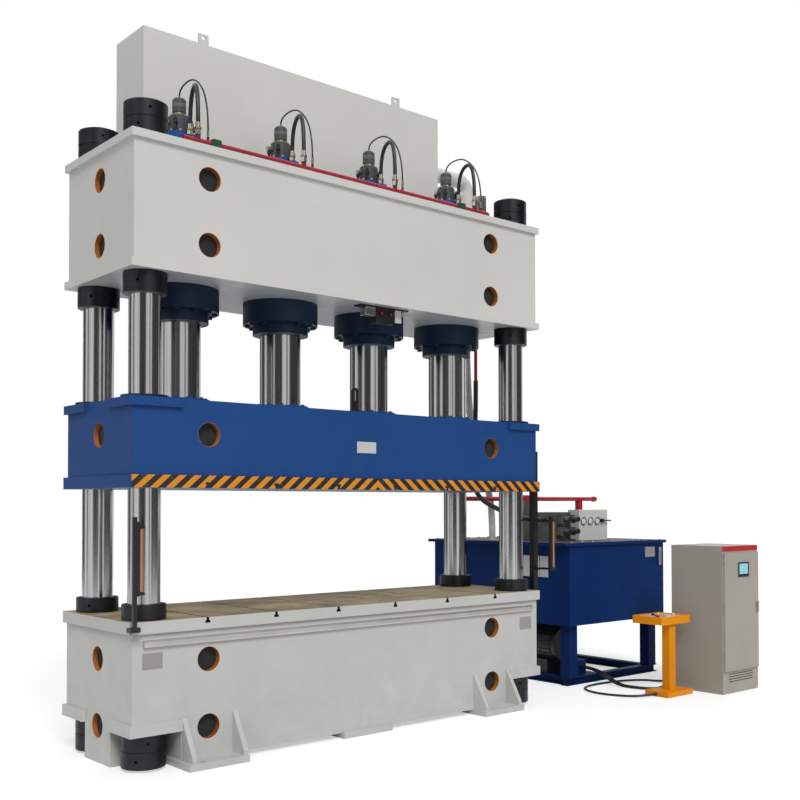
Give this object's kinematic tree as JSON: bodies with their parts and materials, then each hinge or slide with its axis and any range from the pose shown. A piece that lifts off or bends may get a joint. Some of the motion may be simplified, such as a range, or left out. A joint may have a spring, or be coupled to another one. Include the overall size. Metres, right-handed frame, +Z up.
{
  "type": "hydraulic press",
  "caption": "Four-column hydraulic press with a long bed, a guided slide under overhead cylinders, an upper oil tank, and a separate power unit, control cabinet and console.",
  "frame": {"origin": "centre of the press between its four columns, on the floor", "axes": "+X along the press's front towards the power unit, +Y towards its rear, +Z up"},
  "size_m": [8.045, 4.205, 7.005],
  "materials": {
    "press_white": "satin",
    "table_steel": "oiled satin",
    "slide_blue": "satin",
    "column_chrome": "polished",
    "plunger_chrome": "polished",
    "nut_black": "blackened",
    "bush_bronze": "machined",
    "cylinder_navy": "satin",
    "valve_grey": "cast",
    "pipe_red": "gloss",
    "clamp_green": "matte",
    "fitting_steel": "zinc plated",
    "hose_black": "satin",
    "hose_grey": "satin",
    "cable_black": "satin",
    "duct_steel": "brushed",
    "plate_aluminium": "brushed",
    "trim_black": "satin",
    "unit_blue": "satin",
    "unit_navy": "satin",
    "gauge_white": "satin",
    "cabinet_grey": "powder coated",
    "console_yellow": "satin",
    "button_red": "gloss",
    "button_yellow": "gloss"
  },
  "bodies": {
    "frame": {"bed": "press_white", "bed_table": "table_steel", "bottom_nuts": "nut_black", "cabinet": "cabinet_grey", "cabinet_cable_1": "cable_black", "cabinet_cable_2": "cable_black", "cable_duct": "duct_steel", "clamp_nuts": "nut_black", "column_front_left": "column_chrome", "column_front_right": "column_chrome", "column_rear_left": "column_chrome", "column_rear_right": "column_chrome", "console": "console_yellow", "console_cable": "cable_black", "curtain_left": "trim_black", "curtain_right": "trim_black", "cylinder_1": "cylinder_navy", "cylinder_2": "cylinder_navy", "cylinder_3": "cylinder_navy", "cylinder_4": "cylinder_navy", "gauge_box": "gauge_white", "hose_fittings": "fitting_steel", "main_hose_1": "hose_black", "main_hose_2": "hose_black", "main_hose_3": "hose_black", "main_hose_4": "hose_black", "motor_pump": "trim_black", "name_plates": "plate_aluminium", "pilot_hose_1": "hose_black", "pilot_hose_2": "hose_black", "pilot_hose_3": "hose_black", "pilot_hose_4": "hose_black", "pipe_clamps": "clamp_green", "prefill_valves": "valve_grey", "pressure_pipe": "pipe_red", "return_hose": "hose_grey", "return_pipe": "press_white", "sensor_box": "trim_black", "supply_hose": "hose_black", "top_nuts": "nut_black", "unit_frame": "unit_navy", "unit_pipe": "pipe_red", "unit_tank": "unit_blue", "unit_valves": "trim_black", "upper_beam": "press_white", "upper_tank": "press_white"},
    "slide_group": {"slide": "slide_blue", "slide_lugs": "slide_blue", "guide_bushes": "bush_bronze", "plunger_flanges": "slide_blue", "plunger_1": "plunger_chrome", "plunger_2": "plunger_chrome", "plunger_3": "plunger_chrome", "plunger_4": "plunger_chrome"},
    "door": {"cabinet_door": "cabinet_grey"},
    "handle": {"door_handle": "trim_black"},
    "lever": {"gauge_lever": "trim_black"},
    "stop": {"stop_button": "button_red"},
    "start": {"start_button": "button_yellow"},
    "switch": {"selector": "trim_black"}
  },
  "joints": [
    {"name": "slide_stroke", "type": "slide", "parent": "frame", "child": "slide_group", "axis": [0, 0, 1], "range_m": [-0.7, 0.55]},
    {"name": "door_hinge", "type": "hinge", "parent": "frame", "child": "door", "pos_m": [4.466, -1.895, 1], "axis": [0, 0, -1], "range_deg": [0, 110]},
    {"name": "handle_turn", "type": "hinge", "parent": "door", "child": "handle", "pos_m": [5.148, -1.91, 1.06], "axis": [0, 1, 0], "range_deg": [0, 90]},
    {"name": "gauge_lever_turn", "type": "hinge", "parent": "frame", "child": "lever", "pos_m": [4.8, 0.28, 2.062], "axis": [0, 1, 0], "range_deg": [0, 90]},
    {"name": "stop_press", "type": "slide", "parent": "frame", "child": "stop", "axis": [0, 0, -1], "range_m": [0, 0.006], "stiffness_N_per_m": 800, "springref_m": -0.004},
    {"name": "start_press", "type": "slide", "parent": "frame", "child": "start", "axis": [0, 0, -1], "range_m": [0, 0.006], "stiffness_N_per_m": 800, "springref_m": -0.004},
    {"name": "switch_turn", "type": "hinge", "parent": "frame", "child": "switch", "pos_m": [4.045, -1.15, 0.93], "axis": [0, 0, 1], "range_deg": [-45, 45]}
  ]
}
